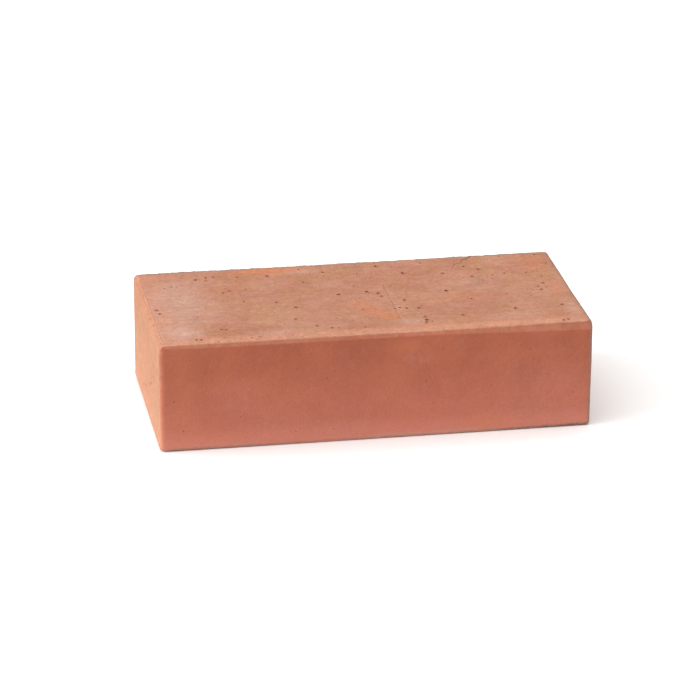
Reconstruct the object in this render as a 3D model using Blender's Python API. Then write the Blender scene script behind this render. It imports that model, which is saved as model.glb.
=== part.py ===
"""Solid clay building brick: one fired piece, a full-size single brick with worn arrises.

Metres, +Z up. The origin is the middle of the lower bed face. X runs along the length,
and the stretcher face that looks towards -Y is the front.
"""

import bpy
import bmesh
from math import radians
from mathutils import Vector

# Driving dimensions, in metres
BRICK_LENGTH = 0.250
BRICK_WIDTH = 0.120
BRICK_HEIGHT = 0.065

UPRIGHT_ARRIS_RADIUS = 0.0025      # the four rounded corners that stand upright
UPRIGHT_ARRIS_FACETS = 5
BED_ARRIS_CHAMFER = 0.0010         # round the lower bed face
TOP_ARRIS_CHAMFER = 0.0016         # back and right arrises of the upper bed face
LEFT_ARRIS_CHAMFER = 0.0024        # left header's top arris, struck off in the mould
FRONT_ARRIS_CHAMFER = 0.0023       # front stretcher's top arris, along most of the length
SLUMP_START = 0.087                # from the right end, where the front arris starts to slump
SLUMP_CHAMFER = 0.0045             # front arris leg at the right end
CORNER_RUB = 0.0012                # worn off the slumped corner, along its diagonal

SMOOTH_ANGLE = radians(35.0)       # facets closer than this are shaded as one round

# Finish of the fired clay
CLAY_COLOUR = (0.53, 0.22, 0.14, 1.0)
CLAY_ROUGHNESS = 0.9
CLAY_METALLIC = 0.0


def clear_scene():
    for leftover in list(bpy.data.objects):
        bpy.data.objects.remove(leftover, do_unlink=True)


def fired_clay_material():
    material = bpy.data.materials.new("fired_clay")
    material.use_nodes = True
    shader = material.node_tree.nodes["Principled BSDF"]
    shader.inputs["Base Color"].default_value = CLAY_COLOUR
    shader.inputs["Roughness"].default_value = CLAY_ROUGHNESS
    shader.inputs["Metallic"].default_value = CLAY_METALLIC
    return material


def moulded_block(body):
    """The plain slab of clay, standing on the origin."""
    bmesh.ops.create_cube(body, size=1.0)
    bmesh.ops.scale(body, vec=(BRICK_LENGTH, BRICK_WIDTH, BRICK_HEIGHT), verts=body.verts)
    bmesh.ops.translate(body, vec=(0.0, 0.0, BRICK_HEIGHT / 2), verts=body.verts)


def round_upright_arrises(body):
    upright = [edge for edge in body.edges if is_upright(edge)]
    bmesh.ops.bevel(
        body,
        geom=upright,
        offset=UPRIGHT_ARRIS_RADIUS,
        offset_type="OFFSET",
        segments=UPRIGHT_ARRIS_FACETS,
        profile=0.5,
        affect="EDGES",
    )


def is_upright(edge):
    run = edge.verts[0].co - edge.verts[1].co
    return abs(run.z) > abs(run.x) + abs(run.y)


def chamfer_bed_arris(body):
    """A small chamfer all round the lower bed, where the wet brick was lifted off its pallet."""
    lower_bed = min(body.faces, key=lambda face: face.calc_center_median().z)
    bmesh.ops.bevel(
        body,
        geom=list(lower_bed.edges),
        offset=BED_ARRIS_CHAMFER,
        offset_type="OFFSET",
        segments=1,
        affect="EDGES",
    )


def strike_off(body, point, outwards):
    """Cuts away everything beyond a flat plane and closes the cut with one flat face."""
    cut = bmesh.ops.bisect_plane(
        body,
        geom=list(body.verts) + list(body.edges) + list(body.faces),
        dist=1e-7,
        plane_co=point,
        plane_no=outwards,
        clear_outer=True,
    )
    rim = [item for item in cut["geom_cut"] if isinstance(item, bmesh.types.BMEdge)]
    bmesh.ops.contextual_create(body, geom=rim)


def strike_top_arrises(body):
    """The four arrises of the upper bed, each struck off by its own plane at 45 degrees."""
    half_length = BRICK_LENGTH / 2
    half_width = BRICK_WIDTH / 2
    struck = (
        (Vector((0.0, -1.0, 1.0)), Vector((0.0, -half_width, 0.0)), FRONT_ARRIS_CHAMFER),
        (Vector((0.0, 1.0, 1.0)), Vector((0.0, half_width, 0.0)), TOP_ARRIS_CHAMFER),
        (Vector((-1.0, 0.0, 1.0)), Vector((-half_length, 0.0, 0.0)), LEFT_ARRIS_CHAMFER),
        (Vector((1.0, 0.0, 1.0)), Vector((half_length, 0.0, 0.0)), TOP_ARRIS_CHAMFER),
    )
    for outwards, side, leg in struck:
        point = side + Vector((0.0, 0.0, BRICK_HEIGHT - leg))
        strike_off(body, point, outwards)


def slump_front_arris(body):
    """Towards the right end the front arris sinks further, in a second plane that turns along X."""
    front = -BRICK_WIDTH / 2
    start = Vector((BRICK_LENGTH / 2 - SLUMP_START, front, BRICK_HEIGHT - FRONT_ARRIS_CHAMFER))
    start_inside = start + Vector((0.0, FRONT_ARRIS_CHAMFER, FRONT_ARRIS_CHAMFER))
    end = Vector((BRICK_LENGTH / 2, front, BRICK_HEIGHT - SLUMP_CHAMFER))
    outwards = (end - start).cross(start_inside - start)
    strike_off(body, start, outwards)


def blunt_front_right_corner(body):
    """The slumped corner itself, rubbed off across all three faces."""
    corner = Vector((BRICK_LENGTH / 2, -BRICK_WIDTH / 2, BRICK_HEIGHT))
    diagonal = Vector((1.0, -1.0, 1.0))
    slumped_depth = SLUMP_CHAMFER / diagonal.length
    outwards = diagonal.normalized()
    strike_off(body, corner - outwards * (slumped_depth + CORNER_RUB), outwards)


def brick_body(material):
    body = bmesh.new()
    moulded_block(body)
    round_upright_arrises(body)
    chamfer_bed_arris(body)
    strike_top_arrises(body)
    slump_front_arris(body)
    blunt_front_right_corner(body)
    bmesh.ops.recalc_face_normals(body, faces=body.faces)
    mesh = bpy.data.meshes.new("brick_body")
    body.to_mesh(mesh)
    body.free()
    mesh.shade_smooth()
    mesh.set_sharp_from_angle(angle=SMOOTH_ANGLE)
    mesh.materials.append(material)
    brick = bpy.data.objects.new("brick_body", mesh)
    bpy.context.scene.collection.objects.link(brick)
    return brick


clear_scene()
brick_body(fired_clay_material())
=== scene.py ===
import math
import random

import bpy
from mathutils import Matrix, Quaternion, Vector
from mathutils.kdtree import KDTree


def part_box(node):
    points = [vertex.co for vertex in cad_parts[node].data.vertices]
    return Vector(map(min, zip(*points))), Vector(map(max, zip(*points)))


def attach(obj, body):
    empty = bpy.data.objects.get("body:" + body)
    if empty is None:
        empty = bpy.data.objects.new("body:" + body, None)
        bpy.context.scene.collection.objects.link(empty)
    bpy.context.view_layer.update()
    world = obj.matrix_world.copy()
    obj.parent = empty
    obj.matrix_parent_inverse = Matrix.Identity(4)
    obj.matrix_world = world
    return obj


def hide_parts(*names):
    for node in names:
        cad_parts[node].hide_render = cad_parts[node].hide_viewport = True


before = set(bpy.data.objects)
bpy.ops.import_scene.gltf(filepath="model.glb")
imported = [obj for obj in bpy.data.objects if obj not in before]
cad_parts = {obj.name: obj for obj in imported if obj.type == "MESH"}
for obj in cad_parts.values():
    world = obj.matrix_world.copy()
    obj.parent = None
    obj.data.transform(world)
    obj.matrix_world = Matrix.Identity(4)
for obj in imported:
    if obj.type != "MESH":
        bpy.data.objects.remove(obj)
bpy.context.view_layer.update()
slabLow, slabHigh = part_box("brick_body")
slabSize = slabHigh - slabLow
slabMiddle = (slabLow + slabHigh) / 2
mm = 0.001
fullPush = 4.0 * mm      # what a vertex group weight of 1 stands for
leastWeight = 0.001      # lighter points stay out of a vertex group
mostCuts = 100           # one subdivide pass cuts an edge at most this often


# small helpers that every step uses

def onlyThis(thing):
    bpy.ops.object.select_all(action="DESELECT")
    thing.select_set(True)
    bpy.context.view_layer.objects.active = thing
    return thing


def applyModifier(thing, kind, name, **settings):
    onlyThis(thing)
    modifier = thing.modifiers.new(name, kind)
    for key, value in settings.items():
        setattr(modifier, key, value)
    bpy.ops.object.modifier_apply(modifier=name)


def settle(thing):  # puts the object's place into its mesh
    onlyThis(thing)
    bpy.ops.object.transform_apply(location=True, rotation=True, scale=True)
    return thing


def editMode():
    bpy.ops.object.mode_set(mode="EDIT")


def objectMode():
    bpy.ops.object.mode_set(mode="OBJECT")


def selectEdges(thing, wanted):  # by place; ends in edit mode
    onlyThis(thing)
    editMode()
    bpy.ops.mesh.select_mode(type="EDGE")
    bpy.ops.mesh.select_all(action="DESELECT")
    objectMode()
    points = thing.data.vertices
    for edge in thing.data.edges:
        start, end = (points[i].co for i in edge.vertices)
        edge.select = wanted(start, end)
    editMode()


def weigh(thing, name, weightAt):  # vertex group filled from each point's place
    group = thing.vertex_groups.new(name=name)
    for point in thing.data.vertices:
        weight = weightAt(point.co)
        if weight > leastWeight:
            group.add([point.index], min(weight, 1.0), "REPLACE")
    return name


def pushGroup(thing, name, direction, share):  # moves the points of a vertex group along one axis
    applyModifier(thing, "DISPLACE", name, direction=direction, strength=share * fullPush,
                  mid_level=0.0, vertex_group=name)


def cloudTexture(name, size, depth=2):
    texture = bpy.data.textures.new(name, "CLOUDS")
    texture.noise_scale = size
    texture.noise_depth = depth
    return texture


def smoothStep(value, start, end):
    share = min(max((value - start) / (end - start), 0.0), 1.0)
    return share * share * (3 - 2 * share)


def within(depth, full, gone):  # 1 up to a depth of full mm, 0 from gone mm on
    return 1 - smoothStep(depth, full * mm, gone * mm)


def softRise(value, softness):  # nothing below zero, value above it, rounded between
    return 0.5 * (value + math.sqrt(value * value + softness * softness))


# the slab's true form: the top sinks a little to the front, the ends curl up off the floor

warp = {
    "frontSink": 0.72 * mm,
    "sinkTwist": 0.26 * mm,     # more at the right end, less at the left
    "endLift": 0.55 * mm,
    "cornerLift": 1.2 * mm,     # back left corner of the bed
    "cornerReach": 80 * mm,
    "rightLean": 0.42 * mm,     # the right header leans out at the top
    "leftFlare": 0.20 * mm,     # the left header runs out towards the front
}


def upShare(point):  # 0 at the bed, 1 at the top
    return (point.z - slabLow.z) / slabSize.z


def sinkAt(point):
    fromMiddle = (point.x - slabMiddle.x) / (slabSize.x / 2)
    sinkHere = warp["frontSink"] + warp["sinkTwist"] * fromMiddle
    return sinkHere * (slabHigh.y - point.y) / slabSize.y


def liftAt(point):
    fromMiddle = (point.x - slabMiddle.x) / (slabSize.x / 2)
    fromLeft = point.x - slabLow.x
    corner = 1 - smoothStep(fromLeft, 0, warp["cornerReach"])
    corner *= smoothStep(point.y, slabLow.y, slabHigh.y)
    return warp["endLift"] * fromMiddle * fromMiddle + warp["cornerLift"] * corner


def leanAt(point):
    return warp["rightLean"] * upShare(point) * max(point.x - slabMiddle.x, 0.0) / (slabSize.x / 2)


def flareAt(point):
    frontShare = (slabHigh.y - point.y) / slabSize.y
    return warp["leftFlare"] * frontShare * max(slabMiddle.x - point.x, 0.0) / (slabSize.x / 2)


def sideDepths(point):  # how deep a point lies behind each side of the brick
    return {
        "left": point.x - slabLow.x + warp["leftFlare"] * (slabHigh.y - point.y) / slabSize.y,
        "right": slabHigh.x - point.x + warp["rightLean"] * upShare(point),
        "front": point.y - slabLow.y,
        "back": slabHigh.y - point.y,
        "bed": point.z - slabLow.z - liftAt(point),
        "top": slabHigh.z - point.z - sinkAt(point),
    }


def nearestSide(point):
    depths = sideDepths(point)
    return min(depths, key=depths.get)


# the slab: clay pressed in a mould, with round arrises

slab = {
    "uprightRound": 2.3 * mm,
    "uprightSegments": 4,
    "bedRound": 1.0 * mm,
    "bedSegments": 2,
    "topRound": 0.7 * mm,
    "topSegments": 3,
    "cell": 1.4 * mm,         # grid that carries the surface relief
    "keepFromEnd": 6.0 * mm,  # edges shorter than this are arris strips and stay whole
    "refineReach": 6.2 * mm,  # finer cells beside the struck arrises
    "plainReach": 0.7,        # share of that reach beside the back and right arrises
    "smoothAngle": 35,
}


def runsAlong(axis, start, end):
    run = end - start
    return abs(run[axis]) > 0.98 * run.length


def bevelUprights(brick):
    selectEdges(brick, lambda start, end: runsAlong(2, start, end))
    bpy.ops.mesh.bevel(offset=slab["uprightRound"], segments=slab["uprightSegments"], profile=0.5,
                       affect="EDGES")
    objectMode()


def bevelRing(brick, level, width, segments):
    near = 0.1 * mm
    selectEdges(brick, lambda start, end: abs(start.z - level) < near and abs(end.z - level) < near)
    bpy.ops.mesh.bevel(offset=width, segments=segments, profile=0.5, affect="EDGES")
    objectMode()


def cutAcross(brick, axis):
    def longRun(start, end):
        return runsAlong(axis, start, end) and (end - start).length > slab["keepFromEnd"]
    cells = round(slabSize[axis] / slab["cell"])
    if cells > mostCuts:
        selectEdges(brick, longRun)
        bpy.ops.mesh.subdivide(number_cuts=1)
        objectMode()
        cells = round(cells / 2)
    selectEdges(brick, longRun)
    bpy.ops.mesh.subdivide(number_cuts=cells - 1)
    objectMode()


def refineArris(brick, first, second, reach):  # halves the cells beside one arris
    onlyThis(brick)
    editMode()
    bpy.ops.mesh.select_mode(type="FACE")
    bpy.ops.mesh.select_all(action="DESELECT")
    objectMode()
    for face in brick.data.polygons:
        depths = sideDepths(face.center)
        face.select = depths[first] < reach and depths[second] < reach
    editMode()
    bpy.ops.mesh.subdivide(number_cuts=1)
    objectMode()


def warpSlab(brick):
    steps = (
        ("sink", "Z", -1, lambda point: sinkAt(point) * upShare(point)),
        ("lift", "Z", 1, lambda point: liftAt(point) * (1 - upShare(point))),
        ("lean", "X", 1, leanAt),
        ("flare", "X", -1, flareAt),
    )
    for name, direction, sign, amountAt in steps:
        weigh(brick, name, lambda point: amountAt(point) / fullPush)
        pushGroup(brick, name, direction, sign)
    print("slab warped")


def pressSlab():
    bpy.ops.object.select_all(action="DESELECT")
    bpy.ops.mesh.primitive_cube_add(size=1, location=slabMiddle, scale=slabSize)
    brick = bpy.context.active_object
    brick.name = "firedBrick"
    settle(brick)
    bevelUprights(brick)
    bevelRing(brick, slabLow.z, slab["bedRound"], slab["bedSegments"])
    bevelRing(brick, slabHigh.z, slab["topRound"], slab["topSegments"])
    for axis in (0, 1, 2):
        cutAcross(brick, axis)
    refineArris(brick, "front", "top", slab["refineReach"])
    refineArris(brick, "left", "top", slab["refineReach"])
    refineArris(brick, "back", "top", slab["refineReach"] * slab["plainReach"])
    refineArris(brick, "right", "top", slab["refineReach"] * slab["plainReach"])
    warpSlab(brick)
    print("slab pressed:", len(brick.data.polygons), "faces")
    return brick


# arrises struck off in the mould: vertex groups say how far each point is pushed in

struck = {
    "frontLeg": 2.5 * mm,       # how far down the front the arris is struck
    "slumpLeg": 4.7 * mm,       # the same at the right end
    "slumpStart": 87 * mm,      # from the right end
    "steepness": 0.37,          # front arris: its run inwards for each step down
    "leftLeg": 2.4 * mm,
    "backLeg": 1.2 * mm,
    "rightLeg": 1.0 * mm,
    "cornerRub": 0.3 * mm,      # rubbed off the slumped corner
    "crisp": 0.22 * mm,         # how rounded the edges of a struck plane are
    "soft": 0.7 * mm,
    "deepest": 12.0 * mm,       # nothing is pushed further down than this
    "leastPush": 0.02 * mm,
}
frontSlope = math.hypot(1 / struck["steepness"], 1)


def frontLegAt(point):
    fromRight = slabHigh.x - point.x
    slump = min(max(1 - fromRight / struck["slumpStart"], 0.0), 1.0)
    return struck["frontLeg"] + (struck["slumpLeg"] - struck["frontLeg"]) * slump


def frontPush(point):
    depths = sideDepths(point)
    beyond = frontLegAt(point) - depths["top"] - depths["front"] / struck["steepness"]
    return softRise(beyond, struck["crisp"]) / frontSlope


def plainPush(side, leg, softness):  # an arris struck at 45 degrees
    def pushAt(point):
        depths = sideDepths(point)
        return softRise(leg - depths[side] - depths["top"], softness) / 2
    return pushAt


def cornerPush(point):
    depths = sideDepths(point)
    reach = struck["slumpLeg"] + struck["cornerRub"] * math.sqrt(3)
    return softRise(reach - depths["right"] - depths["front"] - depths["top"], struck["crisp"]) / 3


def strikeArris(brick, name, pushAt, directions):
    def weightAt(point):
        if sideDepths(point)["top"] > struck["deepest"]:
            return 0.0
        push = pushAt(point)
        return push / fullPush if push > struck["leastPush"] else 0.0

    weigh(brick, name, weightAt)
    for direction, share in directions:
        pushGroup(brick, name, direction, share)


def strikeArrises(brick):
    inwards = 1 / struck["steepness"] / frontSlope
    leftPush = plainPush("left", struck["leftLeg"], struck["crisp"])
    backPush = plainPush("back", struck["backLeg"], struck["soft"])
    rightPush = plainPush("right", struck["rightLeg"], struck["soft"])
    strikeArris(brick, "frontArris", frontPush, (("Y", inwards), ("Z", -1 / frontSlope)))
    strikeArris(brick, "leftArris", leftPush, (("X", 1), ("Z", -1)))
    strikeArris(brick, "backArrisStrike", backPush, (("Y", -1), ("Z", -1)))
    strikeArris(brick, "rightArris", rightPush, (("X", -1), ("Z", -1)))
    strikeArris(brick, "rubbedCorner", cornerPush, (("X", -1), ("Y", 1), ("Z", -1)))
    print("arrises struck off")


# relief: kiln warp, the moulder's hand, sand

relief = {
    "warpSize": 110 * mm,
    "warpDepth": 0.7 * mm,
    "handSize": 24 * mm,
    "handDepth": 0.35 * mm,
    "sandSize": 2.6 * mm,
    "sandDepth": 0.16 * mm,
    "sandShare": {"front": 0.35, "back": 0.55, "top": 1.0, "left": 0.7, "right": 0.8, "bed": 0.0},
    "crumbSize": 3.6 * mm,
    "crumbDepth": 1.2 * mm,     # on the back top arris
    "crumbReach": (0.8, 3.2),   # in mm from that arris
    "flatBelow": 0.5 * mm,      # the lowest part stays flat on its bed
    "flatAbove": 5.0 * mm,
}


def offBed(point):
    return smoothStep(sideDepths(point)["bed"], relief["flatBelow"], relief["flatAbove"])


def sandedSides(point):  # the stretchers came out of the mould smoother than the beds
    return relief["sandShare"][nearestSide(point)] * offBed(point)


def bedOnly(point):
    return 1.0 if sideDepths(point)["bed"] < 0.3 * mm else 0.0


def backArris(point):
    depths = sideDepths(point)
    return within(max(depths["back"], depths["top"]), *relief["crumbReach"])


def raiseRelief(brick):
    lift = weigh(brick, "offBed", offBed)
    sand = weigh(brick, "sandedSides", sandedSides)
    bed = weigh(brick, "bedOnly", bedOnly)
    crumb = weigh(brick, "backArris", backArris)
    steps = (  # texture and its size and detail, then depth, middle, direction and where
        ("warp", relief["warpSize"], 2, relief["warpDepth"], 0.5, "NORMAL", lift),
        ("hand", relief["handSize"], 2, relief["handDepth"], 0.5, "NORMAL", lift),
        ("sand", relief["sandSize"], 4, relief["sandDepth"], 0.5, "NORMAL", sand),
        ("bedSand", relief["sandSize"], 4, relief["sandDepth"], 0.0, "Z", bed),
        ("crumb", relief["crumbSize"], 3, relief["crumbDepth"], 0.75, "NORMAL", crumb),
    )
    for name, size, detail, depth, middle, direction, group in steps:
        texture = cloudTexture(name, size, detail)
        applyModifier(brick, "DISPLACE", name, texture=texture, texture_coords="LOCAL", strength=depth,
                      mid_level=middle, direction=direction, vertex_group=group)
    print("relief raised")


# pores, chips and the drying crack, cut out with rough lumps of grit

pores = {
    "seed": 11,
    "gritKinds": 4,
    "gritRadius": 1.0 * mm,
    "gritApart": 0.1,           # the kinds are made side by side, so that each comes out different
    "roughSize": 0.9 * mm,
    "roughDepth": 0.55 * mm,
    "sizeSpread": (0.85, 1.2),
    "turnSpread": (-0.5, 0.5),
    "topPores": (  # x, y and radius in mm from the middle of the top
        (-90, 43, 0.9), (-84, 41, 0.8), (-79, 46, 0.8), (-65, 44, 1.0), (-73, 21, 1.0), (-77, 19, 0.7),
        (-28, 29, 1.0), (-11, 6, 1.1), (-39, -11, 1.0), (-42, -29, 0.9), (-49, -1, 0.7), (-119, -3, 0.8),
        (-118, -9, 0.9), (-100, -53, 0.9), (-84, -40, 0.6), (-32, -42, 0.8), (-24, -46, 0.8),
        (-20, -47, 0.7), (-5, -48, 0.8), (19, 49, 1.2), (33, 35, 1.3), (56, 31, 1.0), (52, 2, 1.2),
        (12, 4, 1.0), (13, -1, 0.8), (78, 34, 0.9), (72, 23, 0.8), (31, -23, 1.0), (24, -22, 0.8),
        (54, -38, 1.1), (86, -32, 1.1), (111, 6, 1.0), (107, 1, 0.8), (114, -30, 1.0), (64, -13, 0.7),
        (86, -8, 0.7), (109, -55, 0.8), (32, -37, 1.0), (32, -42, 1.2), (31, -46, 1.0),
    ),
    "topStretch": (1.2, 1.5, 0.6),
    "scattered": {"top": 70, "bed": 60, "left": 16, "right": 22, "back": 26, "front": 12},
    "smallPore": (0.3, 0.75),   # radius in mm
    "widePore": (0.75, 1.2),
    "frontPore": (0.25, 0.45),
    "smallShare": 0.85,
    "margin": 4 * mm,           # scattered pores keep this far from the arrises
}
chips = {
    "backCount": 34,
    "backRadius": (0.8, 1.9),   # in mm, as all these are
    "backBite": (0.15, 0.55),   # how deep a chip goes
    "backStretch": (1.0, 2.2),
    "backLarge": ((81, 1.9), (75, 1.6), (67, 1.5), (57, 1.3), (-62, 1.2), (17, 1.3)),  # x and radius
    "arrisCount": 40,
    "arrisRadius": (0.6, 1.5),
    "arrisBite": (0.1, 0.4),
    "arrisInset": 0.5 * mm,
    "bedInset": 0.3 * mm,
    "outwards": 0.7,            # the way out of an arris, along each of its two sides
    "endMargin": 5 * mm,
    "calmFrom": 20 * mm,        # left of this, from the right end, front chips are smaller
    "calmShare": 0.6,
}
crack = {
    "run": ((80.5, 61), (78, 57), (75, 54), (71.5, 51), (70, 47.5), (65.5, 44.5), (63.5, 40), (61.5, 35)),
    "radius": 0.52 * mm,
    "startShare": 1.15,         # of the radius, at the back arris
    "taper": 0.75,
    "above": 0.05 * mm,
    "weld": 0.01 * mm,
}


def gritShape(index):
    shift = index * pores["gritApart"]
    bpy.ops.object.select_all(action="DESELECT")
    bpy.ops.mesh.primitive_ico_sphere_add(subdivisions=2, radius=pores["gritRadius"], location=(0, 0, 0))
    grit = bpy.context.active_object
    grit.name = "grit" + str(index)
    grit.location = (shift, 0, 0)
    settle(grit)
    texture = cloudTexture("gritRough" + str(index), pores["roughSize"])
    applyModifier(grit, "DISPLACE", "rough", texture=texture, texture_coords="LOCAL",
                  strength=pores["roughDepth"], mid_level=0.5)
    editMode()
    bpy.ops.mesh.select_all(action="SELECT")
    bpy.ops.transform.translate(value=(-shift, 0, 0))
    objectMode()
    return grit


def placeGrit(shape, place, sizes, turn):
    onlyThis(shape)
    bpy.ops.object.duplicate()
    lump = bpy.context.active_object
    lump.location = place
    lump.rotation_euler = (0, 0, turn)
    lump.scale = sizes
    return lump


def scatterPlace(side, radius):
    margin = pores["margin"]
    along = random.uniform(slabLow.x + margin, slabHigh.x - margin)
    across = random.uniform(slabLow.y + margin, slabHigh.y - margin)
    up = random.uniform(slabLow.z + margin, slabHigh.z - margin)
    sink = 0.25 * radius
    return {
        "top": Vector((along, across, slabHigh.z - sink)),
        "bed": Vector((along, across, slabLow.z + sink)),
        "left": Vector((slabLow.x + sink, across, up)),
        "right": Vector((slabHigh.x - sink, across, up)),
        "front": Vector((along, slabLow.y + sink, up)),
        "back": Vector((along, slabHigh.y - sink, up)),
    }[side]


def porePlaces():
    wanted = []
    for x, y, radius in pores["topPores"]:
        place = Vector((slabMiddle.x + x * mm, slabMiddle.y + y * mm, slabHigh.z))
        place.z -= sinkAt(place) + 0.1 * radius * mm
        wanted.append((place, radius, pores["topStretch"]))
    for side, count in pores["scattered"].items():
        for step in range(count):
            spread = pores["smallPore"] if random.random() < pores["smallShare"] else pores["widePore"]
            radius = random.uniform(*spread)
            if side == "front":
                radius = random.uniform(*pores["frontPore"])
            place = scatterPlace(side, radius * mm)
            place.z += {"top": -sinkAt(place), "bed": liftAt(place)}.get(side, 0.0)
            wanted.append((place, radius, (1.0, 1.0, 1.0)))
    return wanted


def backChips():
    wanted = []
    for step in range(chips["backCount"]):
        radius = random.uniform(*chips["backRadius"])
        bite = random.uniform(*chips["backBite"])
        out = (radius - bite) * mm * chips["outwards"]
        x = random.uniform(slabLow.x + pores["margin"], slabHigh.x - pores["margin"])
        place = Vector((x, slabHigh.y - 1.1 * mm + 0.7 * out, slabHigh.z - 0.4 * mm + out))
        wanted.append((place, radius, (random.uniform(*chips["backStretch"]), 1.0, 1.0)))
    for x, radius in chips["backLarge"]:
        place = Vector((slabMiddle.x + x * mm, slabHigh.y - 0.9 * mm, slabHigh.z + (radius - 0.75) * mm))
        wanted.append((place, radius, (1.5, 1.0, 1.0)))
    return wanted


def arrisChips():
    wanted = []
    lengths = {"x": slabSize.x, "y": slabSize.y, "z": slabSize.z}
    inset = chips["arrisInset"]
    end = chips["endMargin"]
    for step in range(chips["arrisCount"]):
        radius = random.uniform(*chips["arrisRadius"])
        out = (radius - random.uniform(*chips["arrisBite"])) * mm * chips["outwards"]
        axis = random.choices(list(lengths), list(lengths.values()))[0]
        x = random.choice((slabLow.x + inset - out, slabHigh.x - inset + out))
        y = random.choice((slabLow.y + inset - out, slabHigh.y - inset + out))
        spot = Vector((x, y, 0))
        lowest = slabLow.z + liftAt(spot) + chips["bedInset"] - out
        highest = slabHigh.z - sinkAt(spot) - inset + out
        z = random.choice((lowest, highest))
        if axis == "x":
            x = random.uniform(slabLow.x + end, slabHigh.x - end)
        elif axis == "y":
            y = random.uniform(slabLow.y + end, slabHigh.y - end)
        else:
            z = random.uniform(slabLow.z + end, slabHigh.z - end)
        inFront = y < slabMiddle.y and x < slabHigh.x - chips["calmFrom"]
        if inFront and axis != "y":
            radius = radius * chips["calmShare"]
        wanted.append((Vector((x, y, z)), radius, (1.0, 1.0, 1.0)))
    return wanted


def crackTube():
    data = bpy.data.curves.new("dryingCrack", "CURVE")
    data.dimensions = "3D"
    data.bevel_depth = crack["radius"]
    data.bevel_resolution = 1
    data.use_fill_caps = True
    spline = data.splines.new("POLY")
    last = len(crack["run"]) - 1
    spline.points.add(last)
    for index, (x, y) in enumerate(crack["run"]):
        height = slabHigh.z + crack["above"] - sinkAt(Vector((x, y, 0)) * mm)
        spline.points[index].co = (slabMiddle.x + x * mm, slabMiddle.y + y * mm, height, 1)
        spline.points[index].radius = crack["startShare"] - crack["taper"] * index / last
    tube = bpy.data.objects.new("dryingCrack", data)
    bpy.context.scene.collection.objects.link(tube)
    onlyThis(tube)
    bpy.ops.object.convert(target="MESH")
    tube = bpy.context.active_object
    editMode()
    bpy.ops.mesh.select_all(action="SELECT")
    bpy.ops.mesh.remove_doubles(threshold=crack["weld"])
    bpy.ops.mesh.normals_make_consistent(inside=False)
    objectMode()
    return tube


def cutPores(brick):
    random.seed(pores["seed"])
    shapes = [gritShape(index) for index in range(pores["gritKinds"])]
    lumps = []
    for place, radius, stretch in porePlaces() + backChips() + arrisChips():
        sizes = tuple(radius * share * random.uniform(*pores["sizeSpread"]) for share in stretch)
        lumps.append(placeGrit(random.choice(shapes), place, sizes, random.uniform(*pores["turnSpread"])))
    lumps.append(crackTube())
    onlyThis(lumps[0])
    for lump in lumps:
        lump.select_set(True)
    bpy.ops.object.join()
    cutter = settle(bpy.context.active_object)
    cutter.data.materials.clear()
    for material in brick.data.materials:
        cutter.data.materials.append(material)
    cutter.data.polygons.foreach_set("material_index", [1] * len(cutter.data.polygons))
    applyModifier(brick, "BOOLEAN", "pores", operation="DIFFERENCE", solver="MANIFOLD", object=cutter)
    for leftover in shapes + [cutter]:
        bpy.data.objects.remove(leftover, do_unlink=True)
    print("pores and chips cut:", len(lumps), "lumps,", len(brick.data.polygons), "faces")


# shader groups that both clays share

def makeGroup(name, inputs, outputs):
    tree = bpy.data.node_groups.new(name, "ShaderNodeTree")
    for label, kind, value in inputs:
        socket = tree.interface.new_socket(name=label, in_out="INPUT", socket_type=kind)
        if value is not None:
            socket.default_value = value
    for label, kind in outputs:
        tree.interface.new_socket(name=label, in_out="OUTPUT", socket_type=kind)
    entry = tree.nodes.new("NodeGroupInput")
    leave = tree.nodes.new("NodeGroupOutput")
    return tree, entry.outputs, leave.inputs


def addNode(tree, kind, values=None, **settings):  # values are sockets to link or plain numbers
    node = tree.nodes.new(kind)
    for key, value in settings.items():
        setattr(node, key, value)
    for key, value in (values or {}).items():
        if isinstance(value, bpy.types.NodeSocket):
            tree.links.new(value, node.inputs[key])
        else:
            node.inputs[key].default_value = value
    return node


def addMath(tree, operation, first, second=None, third=None, clamp=False):
    values = {0: first}
    if second is not None:
        values[1] = second
    if third is not None:
        values[2] = third
    return addNode(tree, "ShaderNodeMath", values, operation=operation, use_clamp=clamp).outputs[0]


def times(tree, first, second, clamp=False):
    return addMath(tree, "MULTIPLY", first, second, clamp=clamp)


def addVector(tree, operation, first, second=None, output=0):
    values = {0: first}
    if second is not None:
        values[1] = second
    return addNode(tree, "ShaderNodeVectorMath", values, operation=operation).outputs[output]


def addRange(tree, value, low, high, newLow=0.0, newHigh=1.0):
    values = {"Value": value, "From Min": low, "From Max": high, "To Min": newLow, "To Max": newHigh}
    node = addNode(tree, "ShaderNodeMapRange", values, interpolation_type="SMOOTHSTEP")
    return node.outputs["Result"]


def addNoise(tree, vector, scale, detail=3.0, roughness=0.55, distortion=0.0):
    values = {"Vector": vector, "Scale": scale, "Detail": detail, "Roughness": roughness,
              "Distortion": distortion}
    return addNode(tree, "ShaderNodeTexNoise", values).outputs["Fac"]


def addMix(tree, factor, first, second, blend="MIX"):
    node = addNode(tree, "ShaderNodeMix", data_type="RGBA", blend_type=blend)
    for socket, value in ((node.inputs[0], factor), (node.inputs[6], first), (node.inputs[7], second)):
        if isinstance(value, bpy.types.NodeSocket):
            tree.links.new(value, socket)
        else:
            socket.default_value = value
    return node.outputs[2]


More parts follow.
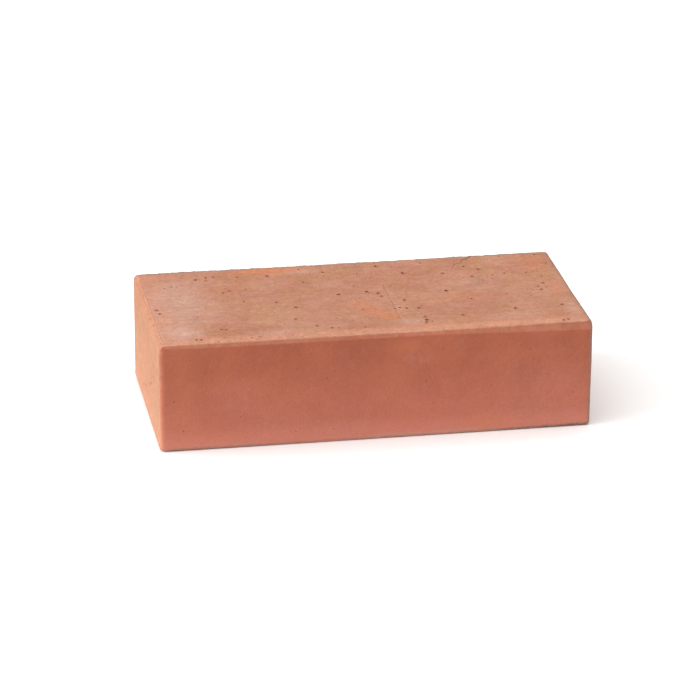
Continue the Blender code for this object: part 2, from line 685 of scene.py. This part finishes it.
def clayGrainGroup():  # blotches, sand grain and the height that goes with them
    tree, given, put = makeGroup(
        "clayGrain",
        (("Vector", "NodeSocketVector", None), ("Blotch Scale", "NodeSocketFloat", 38.0),
         ("Grain Scale", "NodeSocketFloat", 900.0)),
        (("Blotch", "NodeSocketFloat"), ("Cloud", "NodeSocketFloat"), ("Grain", "NodeSocketFloat"),
         ("Height", "NodeSocketFloat")),
    )
    vector = given["Vector"]
    blotch = addNoise(tree, vector, given["Blotch Scale"], 4.0, 0.55, 0.4)
    cloud = addNoise(tree, vector, times(tree, given["Blotch Scale"], 3.6), 3.0, 0.6)
    grain = addNoise(tree, vector, given["Grain Scale"], 3.0, 0.65)
    coarse = addNoise(tree, vector, times(tree, given["Grain Scale"], 0.35), 2.0, 0.5)
    height = addMath(tree, "MULTIPLY_ADD", coarse, 1.4, grain)
    for label, value in (("Blotch", blotch), ("Cloud", cloud), ("Grain", grain), ("Height", height)):
        tree.links.new(value, put[label])
    return tree


def streakGroup():  # marks drawn lengthwise when the brick was struck off and slid
    tree, given, put = makeGroup(
        "drawnStreaks",
        (("Vector", "NodeSocketVector", None), ("Scale", "NodeSocketFloat", 260.0),
         ("Length", "NodeSocketFloat", 0.16)),
        (("Streak", "NodeSocketFloat"),),
    )
    along = addNode(tree, "ShaderNodeCombineXYZ", {"X": given["Length"], "Y": 1.0, "Z": 1.0}).outputs[0]
    drawn = addVector(tree, "MULTIPLY", given["Vector"], along)
    streak = addNoise(tree, drawn, given["Scale"], 3.0, 0.6, 0.2)
    tree.links.new(streak, put["Streak"])
    return tree


def speckGroup():  # round specks: iron spots, lime, open sand pores
    tree, given, put = makeGroup(
        "specks",
        (("Vector", "NodeSocketVector", None), ("Scale", "NodeSocketFloat", 300.0),
         ("Size", "NodeSocketFloat", 0.25), ("Share", "NodeSocketFloat", 0.3)),
        (("Mask", "NodeSocketFloat"),),
    )
    wobble = addNode(tree, "ShaderNodeTexNoise", {"Vector": given["Vector"], "Scale": 900.0, "Detail": 1.0})
    shift = addVector(tree, "MULTIPLY", wobble.outputs["Color"], (0.0012, 0.0012, 0.0012))
    moved = addVector(tree, "ADD", given["Vector"], shift)
    cells = addNode(tree, "ShaderNodeTexVoronoi", {"Vector": moved, "Scale": given["Scale"]})
    chance = addNode(tree, "ShaderNodeSeparateColor", {"Color": cells.outputs["Color"]}).outputs
    size = times(tree, given["Size"], addMath(tree, "MULTIPLY_ADD", chance["Green"], 0.7, 0.3))
    inside = addMath(tree, "SUBTRACT", size, cells.outputs["Distance"])
    spot = addRange(tree, inside, 0.0, 0.12)
    chosen = addMath(tree, "LESS_THAN", chance["Red"], given["Share"])
    tree.links.new(times(tree, spot, chosen), put["Mask"])
    return tree


def strokeGroup():  # a thin drawn line between two places
    tree, given, put = makeGroup(
        "strokeMark",
        (("Vector", "NodeSocketVector", None), ("Start", "NodeSocketVector", None),
         ("End", "NodeSocketVector", None), ("Width", "NodeSocketFloat", 0.0005)),
        (("Mask", "NodeSocketFloat"),),
    )
    wobble = addNode(tree, "ShaderNodeTexNoise", {"Vector": given["Vector"], "Scale": 220.0, "Detail": 2.0})
    centred = addVector(tree, "SUBTRACT", wobble.outputs["Color"], (0.5, 0.5, 0.5))
    shift = addVector(tree, "MULTIPLY", centred, (0.0016, 0.0016, 0.0))
    place = addVector(tree, "ADD", given["Vector"], shift)
    fromStart = addVector(tree, "SUBTRACT", place, given["Start"])
    run = addVector(tree, "SUBTRACT", given["End"], given["Start"])
    along = addVector(tree, "DOT_PRODUCT", fromStart, run, 1)
    whole = addVector(tree, "DOT_PRODUCT", run, run, 1)
    share = addMath(tree, "DIVIDE", along, whole, clamp=True)
    scaled = addNode(tree, "ShaderNodeVectorMath", {0: run, "Scale": share}, operation="SCALE").outputs[0]
    away = addVector(tree, "DISTANCE", fromStart, scaled, 1)
    ratio = addMath(tree, "DIVIDE", away, given["Width"])
    tree.links.new(addRange(tree, ratio, 0.4, 1.0, 1.0, 0.0), put["Mask"])
    return tree


groups = {
    "grain": clayGrainGroup(),
    "streak": streakGroup(),
    "specks": speckGroup(),
    "stroke": strokeGroup(),
}


def addGroup(tree, key, values):
    node = tree.nodes.new("ShaderNodeGroup")
    node.node_tree = groups[key]
    for label, value in values.items():
        if isinstance(value, bpy.types.NodeSocket):
            tree.links.new(value, node.inputs[label])
        else:
            node.inputs[label].default_value = value
    return node.outputs


def addPaint(tree, name):  # reads a value painted on the mesh
    return addNode(tree, "ShaderNodeAttribute", attribute_name=name).outputs["Fac"]


# fired clay, the skin of the brick

clay = {
    "deepBody": (0.308, 0.082, 0.042, 1),
    "lightBody": (0.359, 0.099, 0.051, 1),
    "mauve": (0.33, 0.112, 0.085, 1),
    "mauveCover": 0.5,
    "bounceLight": (0.535, 0.182, 0.128, 1),      # painted bounce light from the floor: paler towards the foot
    "bounceLightCover": 0.50,
    "scumAndHighlight": (0.365, 0.235, 0.132, 1),       # kiln scum, a thin tan film; on the top and left header it is also a painted highlight, their paler look under strong light
    "pinkScumAndHighlight": (0.405, 0.250, 0.170, 1),
    "scumAndHighlightCover": 0.46,
    # pale patches on the top, and the colour of the painted highlight along the front foot
    "palePatchAndHighlight": (0.440, 0.262, 0.208, 1),
    "paleCover": 0.9,
    "flash": (0.47, 0.150, 0.062, 1),       # orange where the flame touched
    "wearAndHighlight": (0.475, 0.208, 0.130, 1),       # rubbed arrises, and painted highlights on the struck front arris, the left front upright and the front of the top
    # dark colour for the painted contact shade along the foot and the painted shade in the fold crease, and
    # for grey patches and the scratch
    "sootAndShade": (0.155, 0.090, 0.062, 1),
    "rim": (0.250, 0.172, 0.140, 1),        # painted shade, greyish, on the back and right arrises
    "stain": (0.25, 0.100, 0.058, 1),       # round the pores, and the painted shade of the crease line
    "stainCover": 0.55,
    "frost": (0.46, 0.195, 0.155, 1),
    "ironSpot": (0.13, 0.050, 0.032, 1),
    "ironOnBody": 0.10,                     # iron spots show most where the pale film lies
    "ironOnScum": 0.46,
    "lime": (0.66, 0.52, 0.44, 1),
    "limeCover": 0.30,
    "roughness": 0.74,
    "roughGrain": 0.16,
    "roughScum": 0.05,
    "specular": 0.3,
    "bump": 0.00022,
    "streakBump": 0.5,
    "ironBump": 1.6,
}
marks = {  # drawn lines: start and end in mm from the middle of the bed, width, how dark
    "crease": ((-122.5, 46, 64.8), (-122.7, -54, 64.2), 1.5, 0.24),  # painted shade in the crease inside the left top arris
    "fold": ((80, -58.8, 63.7), (122, -58.5, 63.6), 0.9, 0.22),      # painted shade in the crease along the slumped arris
    "slip": ((17.6, 18, 64.6), (17.2, -36, 64.1), 0.7, 0.15),        # scratched across the top
}
spots = {  # cells in a metre, size in a cell, share of the cells that hold one
    "iron": (210.0, 0.22, 0.15),
    "fineIron": (420.0, 0.32, 0.24),
    "lime": (330.0, 0.22, 0.07),
    "broken": (700.0, 0.35, 0.3),
}


def addMark(tree, place, name):
    start, end, width = marks[name][:3]
    ends = [(slabMiddle.x + x * mm, slabMiddle.y + y * mm, slabLow.z + z * mm) for x, y, z in (start, end)]
    values = {"Vector": place, "Start": ends[0], "End": ends[1], "Width": width * mm}
    return addGroup(tree, "stroke", values)["Mask"]


def addSpots(tree, place, name):
    scale, size, share = spots[name]
    return addGroup(tree, "specks", {"Vector": place, "Scale": scale, "Size": size, "Share": share})["Mask"]


def newMaterial(name, specular):
    material = bpy.data.materials.new(name)
    material.use_nodes = True
    tree = material.node_tree
    shader = tree.nodes["Principled BSDF"]
    shader.inputs["Specular IOR Level"].default_value = specular
    return material, tree, shader.inputs, addNode(tree, "ShaderNodeTexCoord").outputs["Object"]


def firedBody(tree, grain):  # darker and lighter clouds, and painted bounce light towards the foot
    share = addRange(tree, grain["Blotch"], 0.32, 0.68)
    colour = addMix(tree, share, clay["deepBody"], clay["lightBody"])
    mauve = addRange(tree, grain["Cloud"], 0.52, 0.80, 0.0, clay["mauveCover"])
    colour = addMix(tree, mauve, colour, clay["mauve"])
    bounceLight = times(tree, addPaint(tree, "bounceLight"), clay["bounceLightCover"])
    return addMix(tree, bounceLight, colour, clay["bounceLight"])


def kilnScumAndHighlight(tree, place, grain, streak, colour):  # scum lies in drawn streaks and patches, pinker on top, and also paints the paler look of the strongly lit top and left header; then the pale patches
    patch = addMath(tree, "MULTIPLY_ADD", grain["Blotch"], 0.9, times(tree, streak, 0.7))
    cover = times(tree, addPaint(tree, "scumAndHighlight"), addRange(tree, patch, 0.50, 1.10, 0.70, 1.25))
    cover = times(tree, cover, clay["scumAndHighlightCover"], clamp=True)
    pinkness = addRange(tree, addNoise(tree, place, 55.0, 3.0, 0.6, 0.3), 0.36, 0.64)
    across = addNode(tree, "ShaderNodeSeparateXYZ", {"Vector": place}).outputs["X"]
    fromMiddle = addMath(tree, "ABSOLUTE", addMath(tree, "SUBTRACT", across, slabMiddle.x))
    end = slabSize.x / 2
    offHeader = addRange(tree, fromMiddle, end - 3 * mm, end - 1 * mm, 1.0, 0.0)
    tint = addMix(tree, times(tree, pinkness, offHeader), clay["scumAndHighlight"], clay["pinkScumAndHighlight"])
    colour = addMix(tree, cover, colour, tint)
    streaked = addRange(tree, streak, 0.35, 0.65, 0.5, 1.0)
    pale = times(tree, addPaint(tree, "palePatchAndHighlight"), streaked)
    pale = times(tree, pale, clay["paleCover"], clamp=True)
    return addMix(tree, pale, colour, clay["palePatchAndHighlight"])


def flashWearAndHighlight(tree, grain, colour):
    edge = addMath(tree, "MULTIPLY_ADD", grain["Cloud"], 0.9, -0.45)
    flash = times(tree, addPaint(tree, "flash"), addMath(tree, "ADD", edge, 1.0), clamp=True)
    colour = addMix(tree, flash, colour, clay["flash"])
    cloud = addRange(tree, grain["Cloud"], 0.35, 0.65)
    # wear on the arrises, with painted highlights
    wearAndHighlight = times(tree, addPaint(tree, "wearAndHighlight"), addMath(tree, "MULTIPLY_ADD", cloud, 0.5, 0.5))
    return addMix(tree, wearAndHighlight, colour, clay["wearAndHighlight"])


# dirt, frost and pore stains, with painted shade along the foot and on the back and right arrises
def dirtAndShade(tree, place, dotted, colour):
    # painted contact shade along the foot, and grey patches
    sootAndShade = times(tree, addPaint(tree, "sootAndShade"), addMath(tree, "MULTIPLY_ADD", dotted, 0.6, 0.4))
    colour = addMix(tree, sootAndShade, colour, clay["sootAndShade"])
    # painted shade on the back and right arrises, broken up by noise
    rimShadeNoise = addRange(tree, addNoise(tree, place, 130.0, 4.0, 0.65), 0.36, 0.58, 0.45, 1.0)
    colour = addMix(tree, times(tree, addPaint(tree, "rim"), rimShadeNoise), colour, clay["rim"])
    stain = times(tree, addPaint(tree, "stain"), clay["stainCover"])
    colour = addMix(tree, stain, colour, clay["stain"])
    frostNoise = addRange(tree, addNoise(tree, place, 230.0, 5.0, 0.75), 0.40, 0.72, 0.15, 1.0)
    frost = times(tree, addPaint(tree, "frost"), frostNoise)
    return addMix(tree, frost, colour, clay["frost"])


def drawnMarks(tree, place, dotted, crease, slip, colour):
    # the crease and fold lines are painted shade in creases; the slip is a scratch
    creaseDark = addMath(tree, "MULTIPLY_ADD", dotted, marks["crease"][3], 0.06)
    colour = addMix(tree, times(tree, crease, creaseDark), colour, clay["stain"])
    for mask, name in ((addMark(tree, place, "fold"), "fold"), (slip, "slip")):
        colour = addMix(tree, times(tree, mask, marks[name][3]), colour, clay["sootAndShade"])
    return colour


def sandGrain(tree, place, grain, scumAndHighlight, iron, colour):  # light and dark grains, iron spots and lime
    shade = addRange(tree, grain["Grain"], 0.25, 0.75, 0.93, 1.07)
    mottle = addMath(tree, "SUBTRACT", addNoise(tree, place, 330.0, 4.0, 0.7), 0.5)
    mottle = addMath(tree, "MULTIPLY_ADD", mottle, addMath(tree, "MULTIPLY_ADD", scumAndHighlight, 0.30, 0.06), 1.0)
    shade = times(tree, shade, addMath(tree, "POWER", mottle, 2.0))
    grey = addNode(tree, "ShaderNodeCombineColor", {"Red": shade, "Green": shade, "Blue": shade}).outputs[0]
    colour = addMix(tree, 1.0, colour, grey, "MULTIPLY")
    ironCover = addMath(tree, "MULTIPLY_ADD", scumAndHighlight, clay["ironOnScum"], clay["ironOnBody"])
    ironMask = addMath(tree, "MAXIMUM", iron, addSpots(tree, place, "fineIron"))
    colour = addMix(tree, times(tree, ironMask, ironCover), colour, clay["ironSpot"])
    lime = times(tree, addSpots(tree, place, "lime"), clay["limeCover"])
    return addMix(tree, lime, colour, clay["lime"])


def clayMaterial():
    material, tree, surface, place = newMaterial("firedClay", clay["specular"])
    grain = addGroup(tree, "grain", {"Vector": place})
    streak = addGroup(tree, "streak", {"Vector": place})["Streak"]
    scumAndHighlight = addPaint(tree, "scumAndHighlight")
    dotted = addRange(tree, addNoise(tree, place, 420.0, 2.0), 0.42, 0.60)
    crease = addMark(tree, place, "crease")
    slip = addMark(tree, place, "slip")
    iron = addSpots(tree, place, "iron")
    colour = firedBody(tree, grain)
    colour = kilnScumAndHighlight(tree, place, grain, streak, colour)
    colour = flashWearAndHighlight(tree, grain, colour)
    colour = dirtAndShade(tree, place, dotted, colour)
    colour = drawnMarks(tree, place, dotted, crease, slip, colour)
    colour = sandGrain(tree, place, grain, scumAndHighlight, iron, colour)
    tree.links.new(colour, surface["Base Color"])
    scumRough = times(tree, scumAndHighlight, clay["roughScum"])
    rough = addMath(tree, "MULTIPLY_ADD", grain["Grain"], clay["roughGrain"], scumRough)
    tree.links.new(addMath(tree, "ADD", rough, clay["roughness"], clamp=True), surface["Roughness"])
    height = addMath(tree, "MULTIPLY_ADD", streak, clay["streakBump"], grain["Height"])
    height = addMath(tree, "SUBTRACT", height, times(tree, iron, clay["ironBump"]))
    height = addMath(tree, "SUBTRACT", height, addMath(tree, "MAXIMUM", crease, slip))
    bump = addNode(tree, "ShaderNodeBump", {"Height": height, "Strength": 0.8, "Distance": clay["bump"]})
    tree.links.new(bump.outputs["Normal"], surface["Normal"])
    return material


# broken clay, inside pores, chips and the crack

broken = {
    # dark is the broken clay painted in the shade deep inside pores
    "dark": (0.27, 0.115, 0.070, 1),
    "light": (0.36, 0.140, 0.085, 1),
    "ironSpot": (0.06, 0.025, 0.018, 1),
    "ironCover": 0.5,
    "grainScale": 1300.0,
    "specular": 0.2,
    "bump": 0.0004,
}


def brokenMaterial():
    material, tree, surface, place = newMaterial("brokenClay", broken["specular"])
    grain = addGroup(tree, "grain", {"Vector": place, "Grain Scale": broken["grainScale"]})
    lightShare = addRange(tree, grain["Grain"], 0.2, 0.8, 0.7, 1.2)
    # painted shade: darker the deeper inside a pore
    share = times(tree, addPaint(tree, "poreLitShare"), lightShare, clamp=True)
    colour = addMix(tree, share, broken["dark"], broken["light"])
    iron = times(tree, addSpots(tree, place, "broken"), broken["ironCover"])
    tree.links.new(addMix(tree, iron, colour, broken["ironSpot"]), surface["Base Color"])
    tree.links.new(addRange(tree, grain["Grain"], 0.2, 0.8, 0.86, 1.0), surface["Roughness"])
    bump = addNode(tree, "ShaderNodeBump", {"Height": grain["Height"], "Distance": broken["bump"]})
    tree.links.new(bump.outputs["Normal"], surface["Normal"])
    return material


# where the finish lies, painted point by point

finish = {
    "bounceLightTop": 62 * mm,        # how high the painted bounce light reaches
    "palePatches": (            # x, y and half sizes in mm on the top, and how much
        (-56, -48, 18, 6, 0.5), (-112, -42, 15, 14, 0.9), (22, -43, 10, 7, 0.6), (82, -44, 18, 7, 0.4),
        (-27, 47, 11, 5, 0.5), (-108, 4, 24, 52, 0.70), (70, 10, 14, 10, 0.2), (118, -34, 5, 26, 0.45),
    ),
    "flashPatches": (
        (-47, 53, 26, 9, 0.65), (-2, -12, 7, 7, 0.40), (4, -22, 9, 7, 0.50), (12, -32, 8, 7, 0.45),
        (112, 40, 8, 18, 0.28), (117, -4, 6, 12, 0.28), (50, -50, 70, 6, 0.14), (-110, 52, 12, 8, 0.25),
        (-75, 25, 20, 6, 0.15), (60, -10, 30, 7, 0.15),
    ),
    "frontFlash": (             # x, z and half sizes in mm on the front
        (17, 56, 10, 4, 0.30), (63, 7, 16, 6, 0.30), (-112, 30, 7, 30, 0.12),
    ),
    "footHighlight": ((30, 0, 45, 1, 1.0), (-75, 0, 25, 1, 0.5)),  # a painted highlight along the front foot, where the bed arris catches the floor's bounce light
    "greyPatches": ((73, 15, 9, 8, 0.25),),
    "frontFrost": (             # pale dusting on the front
        (98, 26, 27, 27, 0.20), (78, 12, 26, 9, 0.15), (-80, 31, 15, 13, 0.22), (23, 48, 11, 7, 0.20),
        (-60, 14, 22, 10, 0.28), (-20, 8, 32, 6, 0.28), (111, 8, 5, 4, 0.4),
    ),
    "highlightLeft": 1.12,           # how thick the pale film lies on the left header: a painted highlight, its paler look under strong light
    "scumFront": 0.22,          # and how much thicker beside the front arris
    "bounceLightFoot": 0.80,
    "wearArris": 0.30,
    "wearCorner": 0.4,
    "highlightStruck": 0.40,         # painted highlight on the struck front arris
    "wearAndHighlightFront": 0.80,          # on top, beside the front arris: wear and a painted highlight
    "wearLeft": 0.50,
    "highlightUpright": 0.36,        # painted highlight on the left front upright arris
    "footShade": (0.20, 0.65),   # painted contact shade along the foot: everywhere, and more towards the right end
    "rimRight": 0.66,
    "rimBack": 0.85,
}


stainTree = KDTree(len(pores["topPores"]))
for index, (x, y, radius) in enumerate(pores["topPores"]):
    spot = Vector((slabMiddle.x + x * mm, slabMiddle.y + y * mm, slabHigh.z))
    stainTree.insert(spot - Vector((0, 0, sinkAt(spot))), index)
stainTree.balance()


def patchSum(patches, across, up):
    total = 0.0
    for centreAcross, centreUp, halfAcross, halfUp, amount in patches:
        shareAcross = (across - centreAcross * mm) / (halfAcross * mm)
        shareUp = (up - centreUp * mm) / (halfUp * mm)
        total += amount * (1 - smoothStep(math.hypot(shareAcross, shareUp), 0.2, 1.3))
    return total


def topPatches(name, point):
    return patchSum(finish[name], point.x - slabMiddle.x, point.y - slabMiddle.y)


def frontPatches(name, point):
    return patchSum(finish[name], point.x - slabMiddle.x, point.z - slabLow.z)


def scumAndHighlightAt(point, depths):
    ends = min(depths["left"], depths["right"], depths["back"])
    fade = smoothStep(depths["front"] - ends, -1.0 * mm, 2.0 * mm)
    onTop = within(depths["top"], 0.15 + 0.6 * fade, 0.7 + 2.6 * fade)
    onTop *= 1 + finish["scumFront"] * within(depths["front"], 3.0, 9.0)
    # on the left header the pale film is a painted highlight, standing for its strong light
    onLeft = within(depths["left"], 0.35, 1.15) * smoothStep(depths["front"], 0.4 * mm, 2.4 * mm)
    onBed = within(depths["bed"], 0.2, 1.2)
    onRight = within(depths["right"], 0.2, 1.2)
    return max(onTop, onBed, finish["highlightLeft"] * onLeft, onRight)


def palePatchAndHighlightAt(point, depths):
    onTop = within(depths["top"], 0.15, 0.8)
    onFront = within(depths["front"], 0.5, 1.5)
    # painted highlight: a pale line along the front foot from the floor's bounce light
    footHighlightLine = smoothStep(depths["bed"], 0.5 * mm, 1.2 * mm) * within(depths["bed"], 1.6, 4.0)
    footHighlightLine *= 0.25 + 0.40 * patchSum(finish["footHighlight"], point.x - slabMiddle.x, 0.0)
    return topPatches("palePatches", point) * onTop + footHighlightLine * onFront


def bounceLightAt(point, depths):
    # painted bounce light from the floor, paler the nearer the bed
    rising = 1 - smoothStep(depths["bed"], -8 * mm, finish["bounceLightTop"])
    return rising + finish["bounceLightFoot"] * within(depths["bed"], 2.0, 15.0)


def flashAt(point, depths):
    onTop = within(depths["top"], 0.5, 2.5)
    onFront = within(depths["front"], 0.5, 2.5)
    return topPatches("flashPatches", point) * onTop + frontPatches("frontFlash", point) * onFront


def wearAndHighlightAt(point, depths):
    nearest = sorted(depths.values())
    arris = within(nearest[1], 0.6, 2.6)
    corner = within(nearest[2], 1.0, 6.0)
    wearAndHighlight = finish["wearArris"] * arris + finish["wearCorner"] * arris * corner
    leg = frontLegAt(point)
    # painted highlight on the struck front arris, the light a 45 degree plane would catch
    if depths["front"] < leg * struck["steepness"] + 0.3 * mm:
        blur = within(depths["left"], 2, 34)  # the struck plane ends softly at the left
        top = depths["top"]
        onPlane = 1 - smoothStep(top, leg - (0.4 + 1.0 * blur) * mm, leg + (0.3 - 0.6 * blur) * mm)
        wearAndHighlight = max(wearAndHighlight * 0.6, finish["highlightStruck"]) * onPlane
    onTop = within(depths["top"], 0.1, 0.5)
    # wear and a painted highlight on top, beside the front arris
    besideFront = finish["wearAndHighlightFront"] * within(depths["front"], 6.0, 13.0) * onTop
    besideLeft = finish["wearLeft"] * within(depths["left"], 6.0, 22.0) * onTop
    # painted highlight on the left front upright
    upright = finish["highlightUpright"] * within(depths["left"], -0.6, 4.6) * within(depths["front"], 2.0, 5.0)
    return min(max(wearAndHighlight, besideFront, besideLeft, upright), 1.0)


def sootAndShadeAt(point, depths):
    everywhere, rightEnd = finish["footShade"]
    towardsRight = smoothStep(point.x - slabMiddle.x, 60 * mm, 105 * mm)
    # painted contact shade along the foot, stronger towards the right end; the grey patches are real
    foot = within(depths["bed"], 0.8, 1.9) * (towardsRight * rightEnd + everywhere)
    return max(foot, topPatches("greyPatches", point))


# painted shade along the right arrises and the back top arris
def rimAt(point, depths):
    right = within(depths["right"], 0.9, 2.7) * within(min(depths["top"], depths["front"]), 0.6, 2.0)
    back = within(depths["back"], 3.4, 6.0) * within(depths["top"], 0.6, 2.0)
    return max(finish["rimRight"] * right, finish["rimBack"] * back)


def stainAt(point, depths):
    away = stainTree.find(point)[2]
    return within(away, 0.7, 1.7)


def frostAt(point, depths):
    return frontPatches("frontFrost", point) * within(depths["front"], 0.2, 1.2)


def poreLitShareAt(point, depths):  # painted shade: deep inside pores the broken clay is painted dark, shallow chips are not
    return within(min(depths.values()), 0.1, 0.9)


def paintFinish(brick):
    painters = {
        "scumAndHighlight": scumAndHighlightAt, "palePatchAndHighlight": palePatchAndHighlightAt, "bounceLight": bounceLightAt, "flash": flashAt, "wearAndHighlight": wearAndHighlightAt,
        "sootAndShade": sootAndShadeAt, "rim": rimAt, "stain": stainAt, "frost": frostAt, "poreLitShare": poreLitShareAt,
    }
    points = brick.data.vertices
    depthsOf = [sideDepths(point.co) for point in points]
    for name, valueAt in painters.items():
        layer = brick.data.attributes.new(name, "FLOAT", "POINT")
        values = [valueAt(point.co, depths) for point, depths in zip(points, depthsOf)]
        layer.data.foreach_set("value", values)
    print("finish painted:", ", ".join(painters))


# flat map, one rectangle for each side, so the finish bakes evenly

def unfoldSides(brick):
    length, width, height = slabSize
    span = 2 * width + 2 * height + 4 * mm    # the four long sides stacked
    gap = mm
    rows = {  # side: which two directions lie along the map, and where its rectangle starts
        "top": ((0, 1), (0, 0)),
        "bed": ((0, 1), (0, width + gap)),
        "front": ((0, 2), (0, 2 * (width + gap))),
        "back": ((0, 2), (0, 2 * (width + gap) + height + gap)),
        "left": ((2, 1), (length + gap, 0)),
        "right": ((2, 1), (length + gap, width + gap)),
    }
    layer = brick.data.uv_layers.new(name="OFBake")
    points = brick.data.vertices
    for face in brick.data.polygons:
        (across, up), (startAcross, startUp) = rows[nearestSide(face.center)]
        for corner in face.loop_indices:
            offset = points[brick.data.loops[corner].vertex_index].co - slabLow
            layer.data[corner].uv = ((startAcross + offset[across]) / span + 0.001,
                                     (startUp + offset[up]) / span + 0.001)
    print("sides unfolded")


brick = pressSlab()
brick.data.materials.append(clayMaterial())
brick.data.materials.append(brokenMaterial())
strikeArrises(brick)
raiseRelief(brick)
cutPores(brick)
paintFinish(brick)
unfoldSides(brick)
onlyThis(brick)
bpy.ops.object.shade_smooth_by_angle(angle=math.radians(slab["smoothAngle"]))
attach(brick, "root")
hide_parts("brick_body")


# studio: floor, sky, lamps and camera

studio = {
    "floorSize": 12.0,
    "floorColour": (0.860, 0.850, 0.843, 1),
    "skyColour": (1.0, 1.0, 1.0, 1),
    "skyStrength": 0.72,
    "keyFrom": Vector((-1.0, -0.05, 0.22)),
    "keyPower": 3.5,
    "keyAngle": 50,
    "topFrom": Vector((-0.30, 0.0, 1.0)),
    "topPower": 2.0,
    "topAngle": 90,
}


def layFloor():
    bpy.ops.object.select_all(action="DESELECT")
    bpy.ops.mesh.primitive_plane_add(size=studio["floorSize"], location=(0, 0, slabLow.z))
    floor = bpy.context.active_object
    floor.name = "studioFloor"
    material = bpy.data.materials.new("palePaper")
    material.use_nodes = True
    shader = material.node_tree.nodes["Principled BSDF"]
    shader.inputs["Base Color"].default_value = studio["floorColour"]
    shader.inputs["Roughness"].default_value = 0.95
    shader.inputs["Specular IOR Level"].default_value = 0.0
    floor.data.materials.append(material)


def hangLamp(name, towards, power, angle):
    lamp = bpy.data.lights.new(name, "SUN")
    lamp.energy = power
    lamp.angle = math.radians(angle)
    holder = bpy.data.objects.new(name, lamp)
    holder.rotation_euler = towards.to_track_quat("Z", "Y").to_euler()
    bpy.context.scene.collection.objects.link(holder)


def lightStudio():
    world = bpy.data.worlds.new("softSky")
    world.use_nodes = True
    sky = world.node_tree.nodes["Background"]
    sky.inputs["Color"].default_value = studio["skyColour"]
    seen = world.node_tree.nodes.new("ShaderNodeLightPath").outputs["Is Camera Ray"]
    strength = addRange(world.node_tree, seen, 0.0, 1.0, studio["skyStrength"], 1.0)  # plain white behind
    world.node_tree.links.new(strength, sky.inputs["Strength"])
    bpy.context.scene.world = world
    hangLamp("keyLight", studio["keyFrom"], studio["keyPower"], studio["keyAngle"])
    hangLamp("topLight", studio["topFrom"], studio["topPower"], studio["topAngle"])


view = {
    "azimuth": -10.288,
    "elevation": 21.353,
    "roll": 0.317,
    "distance": 2.1679,
    "lens": 190.75,
    "aimOffset": Vector((-0.00536, 0.0, -0.0006)),
}


def placeCamera():
    data = bpy.data.cameras.new("studioCamera")
    data.lens = view["lens"]
    data.sensor_width = 36.0
    camera = bpy.data.objects.new("studioCamera", data)
    turn = math.radians(view["azimuth"])
    lift = math.radians(view["elevation"])
    back = Vector((math.sin(turn) * math.cos(lift), -math.cos(turn) * math.cos(lift), math.sin(lift)))
    camera.location = slabMiddle + view["aimOffset"] + back * view["distance"]
    level = back.to_track_quat("Z", "Y")
    tilt = Quaternion((0, 0, 1), math.radians(view["roll"]))
    camera.rotation_euler = (level @ tilt).to_euler()
    bpy.context.scene.collection.objects.link(camera)
    bpy.context.scene.camera = camera


layFloor()
lightStudio()
placeCamera()
bpy.context.scene.view_settings.view_transform = "Standard"
print("studio ready")
